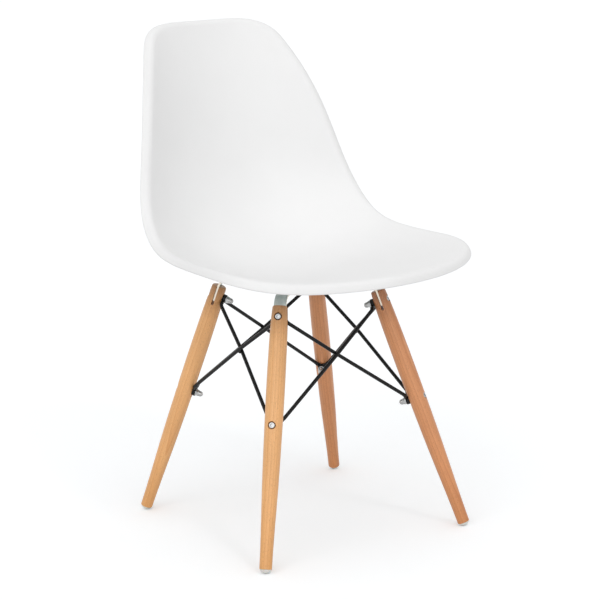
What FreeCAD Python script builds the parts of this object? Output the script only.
import FreeCAD, Part
import math
import os

os.makedirs("parts", exist_ok=True)

Vec = FreeCAD.Vector
UP = Vec(0, 0, 1)
OUTWARD = Vec(1, 0, 0)

# Millimetres. The chair stands on z = 0 and the sitter faces -Y.
# Left and right are the sitter's own: right is -X, left is +X.
# Work is done about the centre of the base. Everything is moved along Y at the end,
# so that the origin lies under the middle of the whole chair.

# Seat shell: centre line from the front edge, along the seat and up the back, as control
# points (y, height above the pads that carry it). The width and the depth of the hollow
# are spread evenly along it.
CENTRE_LINE = [(-255, 45.5), (-180, 42.5), (-86, 24.5), (13, 6.5), (102, 7.5),
               (175, 51.5), (218, 125.5), (234, 217.5), (256, 308.5), (286, 392.5)]
HALF_WIDTHS = [229, 221, 218, 206.5, 197.2, 178.2, 148.2, 102.4]
HOLLOW_DEPTHS = [10.5, 24, 46, 60.5, 69, 69, 55, 21.5]
HOLLOW_POWERS = [2.9, 2.7, 2.5, 2.4, 2.3, 2.2, 2.1, 2.0]
WALL = 4.0
TOP_CORNER = 47.0
TOP_CORNER_POWERS = (4.2, 3.0)
FRONT_CORNER = 157.0
FRONT_CORNER_POWERS = (1.46, 3.25)
RIM_RADIUS = 12.0
RIM_TURN = 80.0
RIM_LIP = 4.0

# Base: four splayed legs on the corners of a square
FOOT_SPREAD = 389.0
LEG_TOP_SPREAD = 187.5
LEG_TOP_HEIGHT = 395.2
LEG_FOOT_DIAMETER = 19.8
LEG_BELLY_DIAMETER = 29.6
LEG_NECK_DIAMETER = 24.2
LEG_TOP_ROUND = 3.0
# How far the leg has swelled from foot to belly at each share of its length
LEG_SWELL = [(0.14, 0.18), (0.32, 0.63), (0.50, 0.87), (0.68, 1.0), (0.85, 0.91), (0.94, 0.72)]
UPPER_BOLT_FROM_TOP = 18.0
LOWER_BOLT_SHARE = 0.549
SLOT_DEPTH = 30.0
SLOT_END_DIAMETER = 4.8
GLIDE_RADIUS = 10.5
GLIDE_HEIGHT = 7.0
GLIDE_FLAT_DEPTH = 0.25
NAIL_DIAMETER = 2.6
NAIL_LENGTH = 18.0

# Fasteners
BOLT_DIAMETER = 6.0
BOLT_HEAD_DIAMETER = 10.0
BOLT_HEAD_HEIGHT = 6.0
BOLT_HEAD_ROUND = 1.3
BOLT_SOCKET = 5.0
BOLT_SOCKET_DEPTH = 3.2
COUNTERBORE_DIAMETER = 12.8
HEAD_RECESS = 0.9
SPOT_FACE_DIAMETER = 21.0
SPOT_FACE_DEPTH = 1.4
CAP_NUT_ACROSS = 10.0
CAP_NUT_HEX_HEIGHT = 5.0
CAP_NUT_HEIGHT = 11.6
CAP_NUT_DOME = 9.2
CAP_NUT_DOME_WALL = 3.0
# The cone that bevels the nut's corners: its radius at foot and top, as shares of the width
CAP_NUT_CONE = (0.62, 0.48)
BOLT_END_GAP = 0.5
WASHER_DIAMETER = 12.5
WASHER_THICKNESS = 1.2

# Bracket under the seat
STRAP_WIDTH = 20.0
STRAP_THICKNESS = 3.0
STRAP_RISE = 14.3
TONGUE_END_GAP = 5.0
SEAT_SCREW_RADIUS = 92.0
RIVET_DIAMETER = 8.0
RIVET_HEAD_RADIUS = 6.8
RIVET_HEAD_RISE = 2.56
PAD_THICKNESS = 3.0
BOSS_DIAMETER = 24.0
PAD_DIAMETER = 26.0
INSERT_DIAMETER = 8.5
INSERT_LENGTH = 8.5
SEAT_WASHER_DIAMETER = 16.0
SEAT_SCREW_HEAD = 11.0
SEAT_SCREW_HEAD_HEIGHT = 4.0
SEAT_SCREW_ROUND = 1.6
SEAT_SCREW_SOCKET = 4.0
SEAT_SCREW_SOCKET_DEPTH = 2.2
SEAT_SCREW_END_GAP = 1.0
RIB_THICKNESS = 2.4
RIB_LENGTH = 11.0
RIB_RISE = 8.0
RIB_GAP = 1.2
JOGGLE_IN = 16.0
JOGGLE_OUT = 26.0

# Wire braces
ROD_DIAMETER = 6.0
EYE_DIAMETER = 14.0
EYE_THICKNESS = 3.0
NECK_LENGTH = 10.5
# The taper from an eye's plate to the rod: how far from the eye's centre and how wide, as shares
# of its diameter, and how thick, as a share of its thickness
EYE_TAPER = [(0.40, 0.36, 0.47), (0.60, 0.30, 0.48)]
# The taper's last section lies just inside the rod: its half width and half thickness as shares
# of the rod
TAPER_END = (0.485, 0.48)
# Where a rod bends beside its eye: sideways along the panel, up the leg, and how far inward of
# the eye the rod lies there
UPPER_KNEE = (13.0, -8.5, 1.0)
LOWER_KNEE = (13.0, 13.2, -1.0)
KNEE_RADIUS = 8.0
BOW_RADIUS = 150.0
WELD_RADIUS = 3.5
WELD_DROP = 2.3
# How far apart the two rods are at the weld, as a share of the rod
WELD_BITE = 0.95

# Fits
BOLT_CLEARANCE = 0.4
SLOT_CLEARANCE = 0.5
SLIP = 0.05

AXIS_LENGTH = math.sqrt((FOOT_SPREAD - LEG_TOP_SPREAD) ** 2 / 2 + LEG_TOP_HEIGHT ** 2)
FOOT_REACH = FOOT_SPREAD / math.sqrt(2)
TOP_REACH = LEG_TOP_SPREAD / math.sqrt(2)
SPLAY = math.degrees(math.atan2(FOOT_REACH - TOP_REACH, LEG_TOP_HEIGHT))
UPPER_BOLT = AXIS_LENGTH - UPPER_BOLT_FROM_TOP
LOWER_BOLT = AXIS_LENGTH * LOWER_BOLT_SHARE
STRAP_TOP_HEIGHT = LEG_TOP_HEIGHT + STRAP_RISE
PAD_TOP = STRAP_TOP_HEIGHT + PAD_THICKNESS
STRAP_MIDDLE = STRAP_TOP_HEIGHT - STRAP_THICKNESS / 2


# Soft curves through a row of evenly spread control values
def curve_weights(share, count):
    spans = count - 1
    place = share * spans
    first = min(max(int(math.floor(place)), 0), spans - 1)
    f = place - first
    values = ((1 - f) ** 3 / 6, (3 * f ** 3 - 6 * f ** 2 + 4) / 6,
              (-3 * f ** 3 + 3 * f ** 2 + 3 * f + 1) / 6, f ** 3 / 6)
    slopes = (-(1 - f) ** 2 / 2 * spans, (3 * f ** 2 - 4 * f) / 2 * spans,
              (-3 * f ** 2 + 2 * f + 1) / 2 * spans, f ** 2 / 2 * spans)
    return first, values, slopes


def along(controls, share, slope=False):
    first, values, slopes = curve_weights(share, len(controls))
    ends = [2 * controls[0] - controls[1]] + list(controls) + [2 * controls[-1] - controls[-2]]
    weights = slopes if slope else values
    return sum(w * c for w, c in zip(weights, ends[first:first + 4]))


# Seat shell
LINE_Y = [p[0] for p in CENTRE_LINE]
LINE_Z = [PAD_TOP + p[1] for p in CENTRE_LINE]
SHELL_HEIGHT = max(LINE_Z) - PAD_TOP + TOP_CORNER


def inner_point(u, t):
    """A point on the sitter's side: u runs from front edge to top edge, t from side to side."""
    run_y = along(LINE_Y, u, slope=True)
    run_z = along(LINE_Z, u, slope=True)
    length = math.hypot(run_y, run_z)
    rise = along(HOLLOW_DEPTHS, u) * abs(t) ** along(HOLLOW_POWERS, u)
    y = along(LINE_Y, u) - run_z / length * rise
    z = along(LINE_Z, u) + run_y / length * rise
    return Vec(along(HALF_WIDTHS, u) * t, y, z)


def inner_normal(u, t):
    step = 1e-4
    across = inner_point(u, t + step) - inner_point(u, t - step)
    lengthwise = inner_point(u + step, t) - inner_point(u - step, t)
    normal = across.cross(lengthwise)
    normal.normalize()
    return normal


def sheet_point(u, t, depth):
    return inner_point(u, t) - inner_normal(u, t) * depth


def corner_share(size, u):
    return size / math.hypot(along(LINE_Y, u, slope=True), along(LINE_Z, u, slope=True))


def corner_arc(powers, steps):
    across, inward = powers
    arc = []
    for i in range(steps + 1):
        turn = math.pi / 2 * i / steps
        arc.append((math.sin(turn) ** (2 / across), 1 - math.cos(turn) ** (2 / inward)))
    return arc


def half_outline(count):
    """Points (u, t) of the rim from the top centre to the front centre, evenly spaced."""
    top = corner_share(TOP_CORNER, 1.0)
    front = corner_share(FRONT_CORNER, 0.0)
    trail = [(1 - top * inward, across) for across, inward in corner_arc(TOP_CORNER_POWERS, 60)]
    straight = 60
    for i in range(1, straight):
        trail.append((1 - top + (front - 1 + top) * i / straight, 1.0))
    front_arc = corner_arc(FRONT_CORNER_POWERS, 60)
    trail += [(front * inward, across) for across, inward in reversed(front_arc)]
    reach = [0.0]
    for a, b in zip(trail, trail[1:]):
        reach.append(reach[-1] + (inner_point(*b) - inner_point(*a)).Length)
    evenly = []
    j = 0
    for i in range(count + 1):
        want = reach[-1] * i / count
        while j < len(reach) - 2 and reach[j + 1] < want:
            j += 1
        f = (want - reach[j]) / (reach[j + 1] - reach[j])
        evenly.append(tuple(a + (b - a) * f for a, b in zip(trail[j], trail[j + 1])))
    return evenly


def closed_outline(count):
    half = half_outline(count)
    return half + [(u, -t) for u, t in reversed(half[1:-1])]


def spline_row(points, places, closed=False):
    row = Part.BSplineCurve()
    row.interpolate(Points=points, Parameters=places, PeriodicFlag=closed)
    return row


def spline_sheet(grid, u_places, v_places, u_closed=False):
    """A smooth surface through a grid of points, with the given parameters."""
    rows = [spline_row(row, v_places) for row in grid]
    poles = [row.getPoles() for row in rows]
    columns = []
    for j in range(len(poles[0])):
        columns.append(spline_row([row[j] for row in poles], u_places, u_closed))
    column_poles = [column.getPoles() for column in columns]
    net = [[poles_j[i] for poles_j in column_poles] for i in range(len(column_poles[0]))]
    sheet = Part.BSplineSurface()
    sheet.buildFromPolesMultsKnots(
        net, columns[0].getMultiplicities(), rows[0].getMultiplicities(),
        columns[0].getKnots(), rows[0].getKnots(), u_closed, False, 3, 3)
    return sheet


def main_sheet(depth):
    lengthwise = [-0.02 + 1.04 * i / 36 for i in range(37)]
    across = [-1.06 + 2.12 * i / 26 for i in range(27)]
    grid = [[sheet_point(u, t, depth) for t in across] for u in lengthwise]
    return spline_sheet(grid, lengthwise, across)


def inside_edge(sheet, edge):
    """The part of a sheet that lies inside a closed edge on it."""
    face = Part.Face(sheet, Part.Wire([edge]))
    face.validate()
    return face


def rim_frames(outline):
    """At each rim point: the point, the outward direction and the sitter's side normal."""
    points = [inner_point(u, t) for u, t in outline]
    frames = []
    for i, (u, t) in enumerate(outline):
        run = points[(i + 1) % len(points)] - points[i - 1]
        normal = inner_normal(u, t)
        outward = normal.cross(run)
        outward.normalize()
        frames.append((points[i], outward, normal))
    return frames


def rolled(frame, turn, depth, lip=0.0):
    point, outward, normal = frame
    a = math.radians(turn)
    reach = RIM_RADIUS - depth
    centre = point - normal * RIM_RADIUS
    ahead = outward * math.cos(a) - normal * math.sin(a)
    return centre + (outward * math.sin(a) + normal * math.cos(a)) * reach + ahead * lip


def rim_strips(outline):
    frames = rim_frames(outline)
    places = [float(i) for i in range(len(outline) + 1)]
    turns = [RIM_TURN * i / 8 for i in range(9)]
    v_turns = [float(i) for i in range(11)]

    def strip(rows, v_places):
        return spline_sheet(rows, places, v_places, u_closed=True).toShape()

    def roll(depth):
        rows = []
        for frame in frames:
            row = [rolled(frame, turn, depth) for turn in turns]
            row += [rolled(frame, RIM_TURN, depth, RIM_LIP * share) for share in (0.5, 1.0)]
            rows.append(row)
        return strip(rows, v_turns)

    def nose():
        rows = []
        for frame in frames:
            inner = rolled(frame, RIM_TURN, 0.0, RIM_LIP)
            outer = rolled(frame, RIM_TURN, WALL, RIM_LIP)
            middle = (inner + outer) * 0.5
            ahead = rolled(frame, RIM_TURN, 0.0, RIM_LIP + 1.0) - inner
            row = []
            for i in range(9):
                a = math.pi * i / 8
                row.append(middle + (inner - middle) * math.cos(a) + ahead * (WALL / 2 * math.sin(a)))
            rows.append(row)
        return strip(rows, [float(i) for i in range(9)])

    return [roll(0.0), nose(), roll(WALL)]


def make_shell_skin():
    outline = closed_outline(100)
    inner_roll, nose, outer_roll = rim_strips(outline)
    seat_side = inside_edge(main_sheet(0.0), inner_roll.Edges[1])
    under_side = inside_edge(main_sheet(WALL), outer_roll.Edges[1])
    skin = Part.makeShell([seat_side, inner_roll, nose, outer_roll, under_side])
    skin.sewShape(0.05)
    return Part.Solid(skin)


def screw_spots():
    reach = SEAT_SCREW_RADIUS / math.sqrt(2)
    return [(reach, reach), (-reach, reach), (-reach, -reach), (reach, -reach)]


def wall_middle_up():
    """Everything above the middle of the shell's wall, to cut the bosses and ribs off inside it."""
    return main_sheet(WALL / 2).toShape().extrude(UP * SHELL_HEIGHT)


def rib(angle, x, y):
    low = PAD_TOP + RIB_GAP
    high = PAD_TOP + BOSS_DIAMETER * 2
    start = BOSS_DIAMETER / 2 - RIB_THICKNESS
    side = Part.makePolygon([Vec(start, 0, low), Vec(start + RIB_LENGTH, 0, low + RIB_RISE),
                             Vec(start + RIB_LENGTH, 0, high), Vec(start, 0, high),
                             Vec(start, 0, low)])
    plate = Part.Face(side).extrude(Vec(0, RIB_THICKNESS, 0))
    plate.translate(Vec(0, -RIB_THICKNESS / 2, 0))
    plate.rotate(Vec(0, 0, 0), UP, angle)
    plate.translate(Vec(x, y, 0))
    return plate


def make_shell():
    shell = make_shell_skin()
    above = wall_middle_up()
    added = []
    for x, y in screw_spots():
        boss = Part.makeCylinder(BOSS_DIAMETER / 2, BOSS_DIAMETER * 2, Vec(x, y, PAD_TOP))
        ribs = [rib(angle, x, y) for angle in (0, 90, 180, 270)]
        added.append(boss.fuse(ribs).cut(above))
    shell = shell.fuse(added)
    for x, y in screw_spots():
        shell = shell.cut(Part.makeCylinder(INSERT_DIAMETER / 2, INSERT_LENGTH, Vec(x, y, PAD_TOP)))
    return shell


# Placing things on the legs. Leg 0 is at the back left, and the others follow by quarter turns.
LEG_NAMES = ["back_left", "back_right", "front_right", "front_left"]
SIDE_NAMES = ["back", "right", "front", "left"]


def on_leg(shape, k):
    """Move a shape from a leg's own frame: origin at the foot, x outward, z up the leg."""
    placed = shape.copy()
    placed.rotate(Vec(0, 0, 0), Vec(0, 1, 0), -SPLAY)
    placed.translate(Vec(FOOT_REACH, 0, 0))
    placed.rotate(Vec(0, 0, 0), UP, 45 + 90 * k)
    return placed


def leg_profile():
    """The turned outline from foot to neck, as (height up the leg, radius)."""
    foot = LEG_FOOT_DIAMETER / 2
    belly = LEG_BELLY_DIAMETER / 2
    outline = [(GLIDE_HEIGHT, foot)]
    outline += [(AXIS_LENGTH * share, foot + (belly - foot) * swell) for share, swell in LEG_SWELL]
    return outline + [(AXIS_LENGTH - LEG_TOP_ROUND, LEG_NECK_DIAMETER / 2)]


def leg_radius(s):
    outline = leg_profile()
    for (s0, r0), (s1, r1) in zip(outline, outline[1:]):
        if s <= s1:
            return r0 + (r1 - r0) * (s - s0) / (s1 - s0)
    return outline[-1][1]


def turned_leg():
    side = Part.BSplineCurve()
    outline = leg_profile()
    side.interpolate([Vec(r, 0, s) for s, r in outline])
    foot_s, foot_r = outline[0]
    neck_s, neck_r = outline[-1]
    bend = LEG_TOP_ROUND * (1 - math.sqrt(0.5))
    crown = Part.Arc(Vec(neck_r, 0, neck_s), Vec(neck_r - bend, 0, AXIS_LENGTH - bend),
                     Vec(neck_r - LEG_TOP_ROUND, 0, AXIS_LENGTH))
    edges = [Part.makeLine(Vec(0, 0, foot_s), Vec(foot_r, 0, foot_s)), side.toShape(),
             crown.toShape(),
             Part.makeLine(Vec(neck_r - LEG_TOP_ROUND, 0, AXIS_LENGTH), Vec(0, 0, AXIS_LENGTH)),
             Part.makeLine(Vec(0, 0, AXIS_LENGTH), Vec(0, 0, foot_s))]
    return Part.Face(Part.Wire(edges)).revolve(Vec(0, 0, 0), UP, 360)


def bolt_seat(s):
    """Where the head rests, measured outward from the leg's axis."""
    return leg_radius(s) - HEAD_RECESS - BOLT_HEAD_HEIGHT


def inner_flat(s):
    return leg_radius(s) - SPOT_FACE_DEPTH


def bolt_hole(length, start, direction):
    return Part.makeCylinder((BOLT_DIAMETER + BOLT_CLEARANCE) / 2, length, start, direction)


def make_leg():
    leg = turned_leg()
    slot_width = STRAP_THICKNESS + 2 * SLOT_CLEARANCE
    wide = LEG_BELLY_DIAMETER
    slot_foot = AXIS_LENGTH - SLOT_DEPTH
    slot = Part.makeBox(slot_width, 2 * wide, 2 * SLOT_DEPTH, Vec(-slot_width / 2, -wide, slot_foot))
    slot_end = Part.makeCylinder(SLOT_END_DIAMETER / 2, 2 * wide, Vec(0, -wide, slot_foot),
                                 Vec(0, 1, 0))
    cuts = [slot, slot_end]
    for s in (UPPER_BOLT, LOWER_BOLT):
        cuts.append(bolt_hole(2 * wide, Vec(-wide, 0, s), OUTWARD))
        cuts.append(Part.makeCylinder(COUNTERBORE_DIAMETER / 2, wide, Vec(bolt_seat(s), 0, s),
                                      OUTWARD))
        cuts.append(Part.makeCylinder(SPOT_FACE_DIAMETER / 2, wide, Vec(-inner_flat(s), 0, s),
                                      -OUTWARD))
    cuts.append(Part.makeCylinder(NAIL_DIAMETER / 2 + SLIP, NAIL_LENGTH + SLIP,
                                  Vec(0, 0, GLIDE_HEIGHT)))
    for cut in cuts:
        leg = leg.cut(cut)
    return leg


def make_glide():
    """A domed foot with its nail. The dome is trimmed flat where it stands on the floor."""
    centre = Vec(0, 0, GLIDE_RADIUS / math.cos(math.radians(SPLAY)))
    dome = Part.makeSphere(GLIDE_RADIUS, centre)
    wide = 4 * GLIDE_RADIUS
    below_leg = Part.makeBox(wide, wide, wide, Vec(-wide / 2, -wide / 2, GLIDE_HEIGHT - wide))
    dome = dome.common(below_leg)
    nail = Part.makeCylinder(NAIL_DIAMETER / 2, NAIL_LENGTH + GLIDE_HEIGHT / 2,
                             Vec(0, 0, GLIDE_HEIGHT / 2))
    return dome.fuse(nail)


def hexagon(across, low, high):
    corner = across / math.sqrt(3)
    points = [Vec(corner * math.cos(math.radians(60 * i)), corner * math.sin(math.radians(60 * i)), low)
              for i in range(7)]
    return Part.Face(Part.makePolygon(points)).extrude(Vec(0, 0, high - low))


def facing(shape, x, s, outward=True):
    """Turn a shape made along +Z so that it points along the leg frame's x, at height s."""
    turned = shape.copy()
    turned.rotate(Vec(0, 0, 0), Vec(0, 1, 0), 90 if outward else -90)
    turned.translate(Vec(x, 0, s))
    return turned


def make_bolt(s):
    seat = bolt_seat(s)
    end = -(stack_end(s) + CAP_NUT_HEIGHT - CAP_NUT_DOME_WALL - BOLT_END_GAP)
    head = Part.makeCylinder(BOLT_HEAD_DIAMETER / 2, BOLT_HEAD_HEIGHT)
    rim = [e for e in head.Edges if e.BoundBox.ZMin > BOLT_HEAD_HEIGHT / 2]
    head = head.makeFillet(BOLT_HEAD_ROUND, rim)
    socket_foot = BOLT_HEAD_HEIGHT - BOLT_SOCKET_DEPTH
    head = head.cut(hexagon(BOLT_SOCKET, socket_foot, BOLT_HEAD_HEIGHT + BOLT_SOCKET_DEPTH))
    shank = Part.makeCylinder(BOLT_DIAMETER / 2, seat - end, Vec(0, 0, end - seat))
    return facing(head.fuse(shank), seat, s)


def stack_end(s):
    """How far inward from the leg's axis the two eyes and the washer reach."""
    return inner_flat(s) + 2 * EYE_THICKNESS + WASHER_THICKNESS


def make_washer(s):
    ring = Part.makeCylinder(WASHER_DIAMETER / 2, WASHER_THICKNESS)
    ring = ring.cut(bolt_hole(WASHER_THICKNESS, Vec(0, 0, 0), UP))
    return facing(ring, -(stack_end(s) - WASHER_THICKNESS), s, outward=False)


def make_cap_nut(s):
    body = hexagon(CAP_NUT_ACROSS, 0, CAP_NUT_HEX_HEIGHT)
    foot, top = CAP_NUT_CONE
    cone = Part.makeCone(CAP_NUT_ACROSS * foot, CAP_NUT_ACROSS * top, CAP_NUT_HEX_HEIGHT)
    body = body.common(cone)
    radius = CAP_NUT_DOME / 2
    neck = CAP_NUT_HEIGHT - radius
    half_ball = Part.makeSphere(radius, Vec(0, 0, neck), UP, 0, 90)
    body = body.fuse([Part.makeCylinder(radius, neck), half_ball])
    bore = Part.makeCylinder(BOLT_DIAMETER / 2 + SLIP, CAP_NUT_HEIGHT - CAP_NUT_DOME_WALL)
    return facing(body.cut(bore), -stack_end(s), s, outward=False)


# Bracket straps
def make_strap(drop):
    """A flat strap whose two ends bend down into the legs. Its middle lies lower by the drop."""
    turn = math.radians(90 - SPLAY)
    radius = (STRAP_MIDDLE - LEG_TOP_HEIGHT) / (1 - math.cos(turn))
    flat_end = TOP_REACH - radius * math.sin(turn)
    tongue = SLOT_DEPTH - TONGUE_END_GAP
    half = STRAP_THICKNESS / 2
    z = STRAP_MIDDLE
    down = Vec(math.cos(turn), 0, -math.sin(turn))
    bend_middle = Vec(flat_end, 0, z - radius)

    def bend_point(angle, r):
        return bend_middle + Vec(math.sin(angle), 0, math.cos(angle)) * r

    def side(offset):
        r = radius + offset
        return [Part.makeLine(Vec(JOGGLE_OUT, 0, z + offset), bend_point(0, r)),
                Part.Arc(bend_point(0, r), bend_point(turn / 2, r), bend_point(turn, r)).toShape(),
                Part.makeLine(bend_point(turn, r), bend_point(turn, r) + down * tongue)]

    top = side(half)
    bottom = side(-half)
    tip = Part.makeLine(bend_point(turn, radius + half) + down * tongue,
                        bend_point(turn, radius - half) + down * tongue)
    middle = [Part.makeLine(Vec(JOGGLE_OUT, 0, z - half), Vec(JOGGLE_IN, 0, z - half - drop)),
              Part.makeLine(Vec(JOGGLE_IN, 0, z - half - drop), Vec(0, 0, z - half - drop)),
              Part.makeLine(Vec(0, 0, z - half - drop), Vec(0, 0, z + half - drop)),
              Part.makeLine(Vec(0, 0, z + half - drop), Vec(JOGGLE_IN, 0, z + half - drop)),
              Part.makeLine(Vec(JOGGLE_IN, 0, z + half - drop), Vec(JOGGLE_OUT, 0, z + half))]
    loop = Part.Wire(Part.sortEdges(top + bottom + middle + [tip])[0])
    arm = Part.Face(loop).extrude(Vec(0, STRAP_WIDTH, 0))
    arm.translate(Vec(0, -STRAP_WIDTH / 2, 0))
    other = arm.copy()
    other.rotate(Vec(0, 0, 0), UP, 180)
    strap = arm.fuse(other).removeSplitter()
    deep = 4 * STRAP_THICKNESS
    for x in (SEAT_SCREW_RADIUS, -SEAT_SCREW_RADIUS):
        strap = strap.cut(bolt_hole(deep, Vec(x, 0, z - deep / 2), UP))
    strap = strap.cut(Part.makeCylinder(RIVET_DIAMETER / 2, deep, Vec(0, 0, z - drop - deep / 2)))
    hole = bolt_hole(deep, Vec(-deep / 2, 0, UPPER_BOLT), OUTWARD)
    hole.rotate(Vec(0, 0, 0), Vec(0, 1, 0), -SPLAY)
    hole.translate(Vec(FOOT_REACH, 0, 0))
    for angle in (0, 180):
        through = hole.copy()
        through.rotate(Vec(0, 0, 0), UP, angle)
        strap = strap.cut(through)
    return strap


def make_rivet():
    top = STRAP_MIDDLE + STRAP_THICKNESS / 2
    bottom = top - 2 * STRAP_THICKNESS
    stem = Part.makeCylinder(RIVET_DIAMETER / 2, top - bottom, Vec(0, 0, bottom))
    rise = RIVET_HEAD_RISE
    width = RIVET_HEAD_RADIUS
    ball = (width ** 2 + rise ** 2) / (2 * rise)
    slab = Part.makeBox(4 * width, 4 * width, 2 * rise, Vec(-2 * width, -2 * width, 0))
    head = Part.makeSphere(ball, Vec(0, 0, rise - ball)).common(slab)
    upper = head.copy()
    upper.translate(Vec(0, 0, top))
    lower = head.mirror(Vec(0, 0, 0), UP)
    lower.translate(Vec(0, 0, bottom))
    return stem.fuse([upper, lower])


def make_seat_pad(x, y):
    foot = Vec(x, y, STRAP_TOP_HEIGHT)
    pad = Part.makeCylinder(PAD_DIAMETER / 2, PAD_THICKNESS, foot)
    return pad.cut(bolt_hole(PAD_THICKNESS, foot, UP))


def make_insert(x, y):
    sleeve = Part.makeCylinder(INSERT_DIAMETER / 2, INSERT_LENGTH, Vec(x, y, PAD_TOP))
    return sleeve.cut(Part.makeCylinder(BOLT_DIAMETER / 2 + SLIP, INSERT_LENGTH, Vec(x, y, PAD_TOP)))


def make_seat_washer(x, y):
    foot = Vec(x, y, STRAP_TOP_HEIGHT - STRAP_THICKNESS - WASHER_THICKNESS)
    ring = Part.makeCylinder(SEAT_WASHER_DIAMETER / 2, WASHER_THICKNESS, foot)
    return ring.cut(bolt_hole(WASHER_THICKNESS, foot, UP))


def make_seat_screw(x, y):
    seat = STRAP_TOP_HEIGHT - STRAP_THICKNESS - WASHER_THICKNESS
    head_height = SEAT_SCREW_HEAD_HEIGHT
    head = Part.makeCylinder(SEAT_SCREW_HEAD / 2, head_height, Vec(0, 0, -head_height))
    low_edges = [e for e in head.Edges if e.BoundBox.ZMax < -head_height / 2]
    head = head.makeFillet(SEAT_SCREW_ROUND, low_edges)
    socket_top = SEAT_SCREW_SOCKET_DEPTH - head_height
    head = head.cut(hexagon(SEAT_SCREW_SOCKET, -2 * head_height, socket_top))
    reach = PAD_TOP + INSERT_LENGTH - SEAT_SCREW_END_GAP - seat
    screw = head.fuse(Part.makeCylinder(BOLT_DIAMETER / 2, reach))
    screw.translate(Vec(x, y, seat))
    return screw


# Wire braces
def leg_frame(k):
    turn = math.radians(45 + 90 * k)
    tilt = math.radians(SPLAY)
    around = Vec(-math.sin(turn), math.cos(turn), 0)
    flat_out = Vec(math.cos(turn), math.sin(turn), 0)
    out = flat_out * math.cos(tilt) + UP * math.sin(tilt)
    up_leg = flat_out * -math.sin(tilt) + UP * math.cos(tilt)
    return flat_out * FOOT_REACH, out, around, up_leg


def eye_centre(k, s, place):
    foot, out, around, up_leg = leg_frame(k)
    return foot + up_leg * s - out * (inner_flat(s) + (place + 0.5) * EYE_THICKNESS)


def over_eye(k, s, place, knee):
    """Where the middle of the rod would lie over its eye. The rod beside the eye that is next to
    the leg has one side flush with that eye, so that it clears the leg."""
    out = leg_frame(k)[1]
    inward = knee[2]
    if place == 0:
        inward = max(inward, (ROD_DIAMETER - EYE_THICKNESS) / 2)
    return eye_centre(k, s, place) - out * inward


def knee_place(k, s, place, way, knee):
    """Where the rod bends beside its eye; way is 1 towards the next leg and -1 towards the last."""
    sideways, up = knee[:2]
    foot, out, around, up_leg = leg_frame(k)
    return over_eye(k, s, place, knee) + around * (way * sideways) + up_leg * up


def flattened_end(centre, level, out, bend):
    """The eye, and the taper that turns its flat plate back into the round rod."""
    disc = Part.makeCylinder(EYE_DIAMETER / 2, EYE_THICKNESS, centre - out * (EYE_THICKNESS / 2), out)
    ahead = bend - level
    ahead.normalize()
    side = out.cross(ahead)
    stations = [(centre + ahead * (EYE_DIAMETER * away), EYE_DIAMETER * wide, EYE_THICKNESS * thick)
                for away, wide, thick in EYE_TAPER]
    end_width, end_thickness = TAPER_END
    stations.append((level + ahead * (NECK_LENGTH + ROD_DIAMETER / 2),
                     ROD_DIAMETER * end_width, ROD_DIAMETER * end_thickness))
    sections = []
    for middle, wide, thick in stations:
        oval = Part.Ellipse(middle + side * wide, middle + out * thick, middle)
        sections.append(Part.Wire([oval.toShape()]))
    return [disc, Part.makeLoft(sections, True)]


def bent_path(points, radii):
    """Straight runs joined by arcs: one radius for each inner point."""
    edges = []
    start = points[0]
    for before, corner, after, radius in zip(points, points[1:], points[2:], radii):
        back = before - corner
        back.normalize()
        ahead = after - corner
        ahead.normalize()
        half_turn = (math.pi - back.getAngle(ahead)) / 2
        reach = radius * math.tan(half_turn)
        bisector = back + ahead
        bisector.normalize()
        middle = corner + bisector * (radius / math.cos(half_turn) - radius)
        edges.append(Part.makeLine(start, corner + back * reach))
        edges.append(Part.Arc(corner + back * reach, middle, corner + ahead * reach).toShape())
        start = corner + ahead * reach
    edges.append(Part.makeLine(start, points[-1]))
    return Part.Wire(edges)


def bent_rod(points, radii):
    ring = Part.Circle(points[0], points[1] - points[0], ROD_DIAMETER / 2).toShape()
    return bent_path(points, radii).makePipeShell([Part.Wire([ring])], True, False)


def nearest_points(p, q, r, s):
    """Where the line p-q and the line r-s pass closest to each other."""
    d1 = q - p
    d2 = s - r
    w = p - r
    a, b, c = d1.dot(d1), d1.dot(d2), d2.dot(d2)
    d, e = d1.dot(w), d2.dot(w)
    bottom = a * c - b * b
    return p + d1 * ((b * e - c * d) / bottom), r + d2 * ((a * e - b * d) / bottom)


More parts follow.
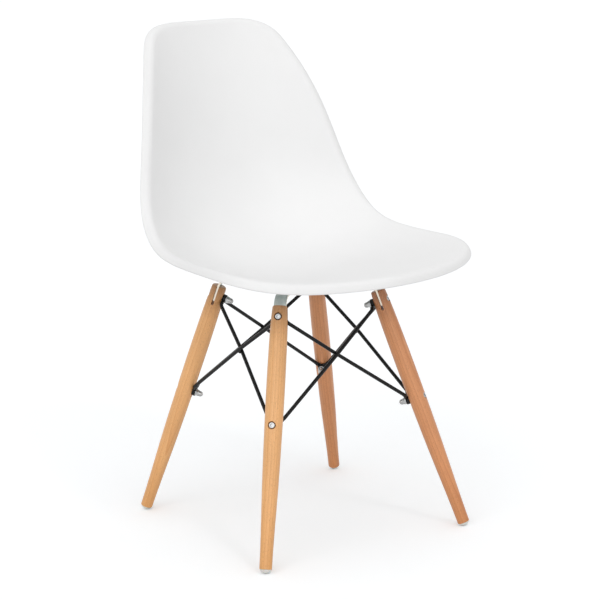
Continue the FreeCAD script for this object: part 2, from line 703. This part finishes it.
def make_brace():
    """Two crossing rods between leg 0 and leg 1, each bowed a little, welded where they touch."""
    ends = [
        ((0, UPPER_BOLT, 0, 1, UPPER_KNEE), (1, LOWER_BOLT, 1, -1, LOWER_KNEE)),
        ((1, UPPER_BOLT, 1, -1, UPPER_KNEE), (0, LOWER_BOLT, 0, 1, LOWER_KNEE)),
    ]
    lines = []
    eyes = []
    for rod in ends:
        line = []
        for k, s, place, way, knee in rod:
            level = over_eye(k, s, place, knee)
            bend = knee_place(k, s, place, way, knee)
            ahead = bend - level
            ahead.normalize()
            line += [level + ahead * NECK_LENGTH, bend]
            eyes.append((eye_centre(k, s, place), level, leg_frame(k)[1], bend))
        lines.append([line[0], line[1], line[3], line[2]])
    near_a, near_b = nearest_points(lines[0][1], lines[0][2], lines[1][1], lines[1][2])
    across = (lines[0][2] - lines[0][1]).cross(lines[1][2] - lines[1][1])
    across.normalize()
    crossing = (near_a + near_b) * 0.5
    pieces = []
    for way, (first_neck, first_knee, last_knee, last_neck) in zip((1, -1), lines):
        bow = crossing + across * (way * ROD_DIAMETER * WELD_BITE / 2)
        pieces.append(bent_rod([first_neck, first_knee, bow, last_knee, last_neck],
                               [KNEE_RADIUS, BOW_RADIUS, KNEE_RADIUS]))
    for eye in eyes:
        pieces += flattened_end(*eye)
    pieces.append(Part.makeSphere(WELD_RADIUS, crossing - UP * WELD_DROP))
    brace = pieces[0].fuse(pieces[1:])
    for centre, level, out, bend in eyes:
        brace = brace.cut(bolt_hole(4 * EYE_THICKNESS, centre - out * (2 * EYE_THICKNESS), out))
    return brace


# Build and export
def group(shapes):
    return Part.Compound(list(shapes))


def build():
    nodes = {}
    nodes["seat_shell"] = make_shell()
    spots = screw_spots()
    nodes["seat_inserts"] = group(make_insert(x, y) for x, y in spots)
    nodes["seat_pads"] = group(make_seat_pad(x, y) for x, y in spots)
    nodes["seat_washers"] = group(make_seat_washer(x, y) for x, y in spots)
    nodes["seat_screws"] = group(make_seat_screw(x, y) for x, y in spots)
    upper = make_strap(0.0)
    upper.rotate(Vec(0, 0, 0), UP, 45)
    lower = make_strap(STRAP_THICKNESS)
    lower.rotate(Vec(0, 0, 0), UP, 135)
    nodes["strap_upper"] = upper
    nodes["strap_lower"] = lower
    nodes["strap_rivet"] = make_rivet()
    leg = make_leg()
    glide = make_glide()
    trim = Part.makeBox(4 * FOOT_REACH, 4 * FOOT_REACH, AXIS_LENGTH,
                        Vec(-2 * FOOT_REACH, -2 * FOOT_REACH, 0))
    glides = []
    for k, name in enumerate(LEG_NAMES):
        nodes["leg_" + name] = on_leg(leg, k)
        placed = on_leg(glide, k)
        placed.translate(Vec(0, 0, -GLIDE_FLAT_DEPTH))
        glides.append(placed.common(trim))
    nodes["glides"] = group(glides)
    for place, s in (("upper", UPPER_BOLT), ("lower", LOWER_BOLT)):
        nodes["bolts_" + place] = group(on_leg(make_bolt(s), k) for k in range(4))
        nodes["washers_" + place] = group(on_leg(make_washer(s), k) for k in range(4))
        nodes["cap_nuts_" + place] = group(on_leg(make_cap_nut(s), k) for k in range(4))
    brace = make_brace()
    for k, name in enumerate(SIDE_NAMES):
        placed = brace.copy()
        placed.rotate(Vec(0, 0, 0), UP, 90 * k)
        nodes["brace_" + name] = placed
    return nodes


NODES = build()
SHELL_REACH = [point.y for point in NODES["seat_shell"].tessellate(0.2)[0]]
SHIFT = Vec(0, -(min(SHELL_REACH) + max(SHELL_REACH)) / 2, 0)
print("moved along Y by %.3f" % SHIFT.y)
for node, shape in NODES.items():
    shape.translate(SHIFT)
    shape.exportStep("parts/" + node + ".step")
    b = shape.BoundBox
    print("%-18s %d solid(s) valid %s  %.0f mm3  x %.1f..%.1f  y %.1f..%.1f  z %.1f..%.1f" % (
        node, len(shape.Solids), shape.isValid(), shape.Volume,
        b.XMin, b.XMax, b.YMin, b.YMax, b.ZMin, b.ZMax))
